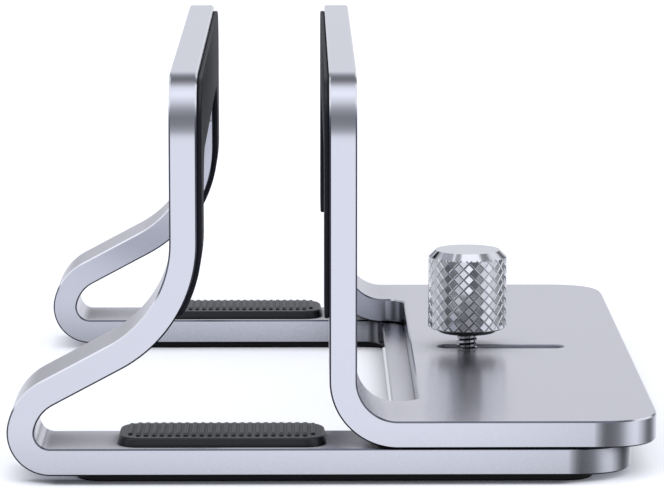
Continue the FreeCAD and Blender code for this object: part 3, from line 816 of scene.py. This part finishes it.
def make_floor():
    """White paper, which glows to read as plain white, with a soft painted shadow where the stand touches it.
    """
    floor = primitive("floor", bpy.ops.mesh.primitive_plane_add, size=FLOOR_SIZE)
    material = empty("white_paper")
    front = front_shadow_share(material)
    # Painted contact shadow: the glow fades where little is open round the paper
    open_share = node(material, "ShaderNodeAmbientOcclusion", {"samples": 16}, Distance=CONTACT).outputs["AO"]
    least = node(material, "ShaderNodeMapRange", Value=front, To_Min=CONTACT_SHARE[0],
                 To_Max=FRONT_CONTACT_SHARE[0]).outputs[0]
    most = node(material, "ShaderNodeMapRange", Value=front, To_Min=CONTACT_SHARE[1],
                To_Max=FRONT_CONTACT_SHARE[1]).outputs[0]
    clear = node(material, "ShaderNodeMapRange", Value=open_share, From_Min=least, From_Max=most).outputs[0]
    seen = node(material, "ShaderNodeLightPath").outputs["Is Camera Ray"]
    glow = node(material, "ShaderNodeMath", {"operation": "MULTIPLY"}, _0=seen, _1=clear).outputs[0]
    glow = node(material, "ShaderNodeMath", {"operation": "MULTIPLY"}, _0=glow, _1=FLOOR_GLOW).outputs[0]
    # Painted shadow: along the front edge the paper itself turns grey where the glow has faded
    dark = node(material, "ShaderNodeMapRange", Value=clear, From_Min=1.0, From_Max=0.0,
                To_Max=front).outputs[0]
    paper = node(material, "ShaderNodeMix", {"data_type": "RGBA"}, _0=dark, _6=linear("#DEE0E8"),
                 _7=linear("#6A6C72")).outputs[2]
    surface(material, Base_Color=paper, Roughness=1.0, Specular_IOR_Level=0.0,
            Emission_Color=linear("#F4F6FC"), Emission_Strength=glow)
    floor.data.materials.append(material)
    # The shiny faces see the studio's plain low light in its place
    floor.visible_glossy = False


def panels(world, place, stops):
    """The panels' levels along a 0 to 1 place."""
    made = node(world, "ShaderNodeValToRGB", Fac=place)
    points = made.color_ramp.elements
    while len(points) < len(stops):
        points.new(0.5)
    for point, (position, level) in zip(points, stops):
        point.position = position
        point.color = (level, level, level, 1)
    return made.outputs["Color"]


def panels_around(world, side, ahead, stops):
    """The panels' levels by the angle of a ray, in degrees from the camera's side."""
    angle = node(world, "ShaderNodeMath", {"operation": "ARCTAN2"}, _0=side, _1=ahead).outputs[0]
    place = node(world, "ShaderNodeMapRange", Value=angle, From_Min=-math.pi, From_Max=math.pi).outputs[0]
    return panels(world, place, [((degrees + 180) / 360, level / PANEL_PEAK) for degrees, level in stops])


def plain(level):
    """A plain level as a share of the panels' peak."""
    return [level / PANEL_PEAK] * 3 + [1]


def panels_overhead(world, x, z, ahead):
    """The panels that faces looking up reflect, with gaps between them and plain light at both sides."""
    levels = panels_around(world, z, ahead, PANELS_OVER)
    place = node(world, "ShaderNodeMapRange", Value=x, From_Min=-1.0).outputs[0]
    gaps = panels(world, place, [((position + 1) / 2, level) for position, level in PANELS_ACROSS])
    levels = node(world, "ShaderNodeMix", {"data_type": "RGBA", "blend_type": "MULTIPLY"}, _0=1.0, _6=levels,
                  _7=gaps).outputs[2]
    outward = node(world, "ShaderNodeMath", {"operation": "ABSOLUTE"}, _0=x).outputs[0]
    outward = node(world, "ShaderNodeMapRange", Value=outward, From_Min=SIDE_START[0],
                   From_Max=SIDE_START[1]).outputs[0]
    return node(world, "ShaderNodeMix", {"data_type": "RGBA"}, _0=outward, _6=levels,
                _7=plain(SIDE_LEVEL)).outputs[2]


def panels_level(world, x, z, ahead):
    """The panels that upright faces reflect, with plain light below the horizon."""
    levels = panels_around(world, x, ahead, PANELS_ROUND)
    low = node(world, "ShaderNodeMapRange", Value=z, From_Min=LOW_START[0], From_Max=LOW_START[1]).outputs[0]
    return node(world, "ShaderNodeMix", {"data_type": "RGBA"}, _0=low, _6=levels,
                _7=plain(LOW_LEVEL)).outputs[2]


def make_world():
    """A pale studio: plain light for dull surfaces, soft panels for shiny ones, white behind the stand."""
    world = bpy.data.worlds.new("studio")
    bpy.context.scene.world = world
    world.use_nodes = True
    world.node_tree.nodes.clear()
    ray = node(world, "ShaderNodeTexCoord").outputs["Generated"]
    x, y, z = node(world, "ShaderNodeSeparateXYZ", Vector=ray).outputs
    ahead = node(world, "ShaderNodeMath", {"operation": "MULTIPLY"}, _0=y, _1=-1.0).outputs[0]
    height = node(world, "ShaderNodeMapRange", {"interpolation_type": "SMOOTHSTEP"}, Value=z,
                  From_Min=-OVERHEAD_START, From_Max=OVERHEAD_START).outputs[0]
    levels = node(world, "ShaderNodeMix", {"data_type": "RGBA"}, _0=height,
                  _6=panels_level(world, x, z, ahead), _7=panels_overhead(world, x, z, ahead)).outputs[2]
    peak = [share * PANEL_PEAK for share in linear(PANEL_TINT)[:3]] + [1]
    levels = node(world, "ShaderNodeMix", {"data_type": "RGBA", "blend_type": "MULTIPLY"}, _0=1.0, _6=levels,
                  _7=peak).outputs[2]
    path = node(world, "ShaderNodeLightPath").outputs
    soft = node(world, "ShaderNodeMapRange", Value=ahead, From_Min=-1.0, To_Min=REAR_LIGHT,
                To_Max=2 - REAR_LIGHT).outputs[0]
    light = node(world, "ShaderNodeMix", {"data_type": "RGBA"}, _0=path["Is Glossy Ray"], _6=soft,
                 _7=levels).outputs[2]
    light = node(world, "ShaderNodeMix", {"data_type": "RGBA"}, _0=path["Is Camera Ray"], _6=light,
                 _7=(1, 1, 1, 1)).outputs[2]
    background = node(world, "ShaderNodeBackground", Color=light, Strength=1.0).outputs[0]
    node(world, "ShaderNodeOutputWorld", Surface=background)
    world.cycles.sampling_method = "NONE"


# The real grain of the metals and the rubbers, about 0.05 to 0.1 mm wide, is too fine to show. It is drawn
# 0.2 to 0.5 mm wide, as coarse as it needs to show.

# Bead blasting leaves a silky skin, which spreads a reflection into a soft gradient from grey to white; its
# level faces carry painted shade in recesses
blasted = metal("bead-blasted clear-anodised aluminium", "#EFEEF4", 0.24, 0.02, 0.2 * MM, 0.0005 * MM,
                (0.22, 0.8), level_only=True)
# The sheet's milled section is smoother than its faces: an even pale grey, with crisp bands in the bends, and
# painted shade in recesses
milled = metal("milled anodised aluminium", "#E8E9F2", 0.14, 0.02, 0.3 * MM, 0.0003 * MM, (0.1, 0.66))
# The same section inside the legs is painted a greyer copy, as painted shade from the other leg, and darkens
# into the folds with painted shade
shaded_leg_wall = metal("milled anodised aluminium inside the legs", "#D8DAE4", 0.17, 0.02, 0.3 * MM, 0.0003 * MM,
                 (0.25, 0.72))
# Inside the bracket's window it is painted a darker blue grey copy, as a painted reflection of the black
# linings
shaded_bracket_wall = metal("milled anodised aluminium inside the bracket", "#B4B6C2", 0.2, 0.02, 0.3 * MM,
                     0.0003 * MM, (0.3, 0.75))
# The wall of the slot was blasted after it was cut, and is an even grey without a shine
slot_wall = metal("blasted anodised aluminium of the slot", "#E9EAF2", 0.7, 0.02, 0.3 * MM, 0.0002 * MM,
                  (-0.9, 0.0))
# Diamond-cut chamfers draw a thin bright line round every edge; where they face the front they are painted
# grey, as painted shade, and they carry painted shade in recesses
chamfer = metal("diamond-cut anodised aluminium", "#FAFAFF", 0.17, 0.01, 0.5 * MM, 0.0002 * MM, (0.3, 0.6),
                "#6C6E79")
# Turned and plated steel is the shiniest surface: each diamond of the knurl is a flat white, grey or black,
# with painted shade in recesses
steel = metal("bright turned steel", "#F2F3F6", 0.08, 0.02, 0.3 * MM, 0.0002 * MM, (0.0, 0.5))
# The grooves of the knurl and the thread are painted dark as painted shade, which outlines each diamond and
# each turn
groove = dull("grooves of the steel in painted shade", "#33343C", 0.42, 0.005, 0.005, 0.3 * MM, 0.0002 * MM)
# Moulded silicone is a charcoal black, with a painted soft grey sheen on top of the ribs and painted shade
# taking it out between them
silicone = dull("moulded black silicone", "#16171C", 0.38, 0.6, 0.95, 0.4 * MM, 0.001 * MM)
# The linings' matt silicone stays black and flat from the side, with a painted sheen on its upper edge only
lining = dull("matt black silicone lining", "#1E1F26", 0.55, 0.14, 0.8, 0.4 * MM, 0.001 * MM)
# Nitrile rubber is a deep black, with a dim highlight on the washer's rim
gasket = dull("black nitrile rubber", "#0E0F12", 0.4, 0.5, 0.5, 0.3 * MM, 0.001 * MM)
# The anti-slip sheet is the blackest and dullest, a plain dark line under the metal
sole = dull("black anti-slip silicone", "#0C0D10", 0.6, 0.5, 0.5, 0.4 * MM, 0.001 * MM)

make_camera()
make_floor()
make_world()
make_base_frame((blasted, milled, chamfer, shaded_leg_wall))
make_slide_bracket((blasted, milled, chamfer, shaded_bracket_wall, slot_wall))
make_left_lining(lining)
make_right_lining(lining)
make_rail_strip("front_strip", "front_rail_strip", silicone)
make_rail_strip("rear_strip", "rear_rail_strip", silicone)
make_bottom_sheet(sole)
make_washer(gasket)
make_thumb_screw(steel, groove)
bpy.context.scene.view_settings.view_transform = "Standard"
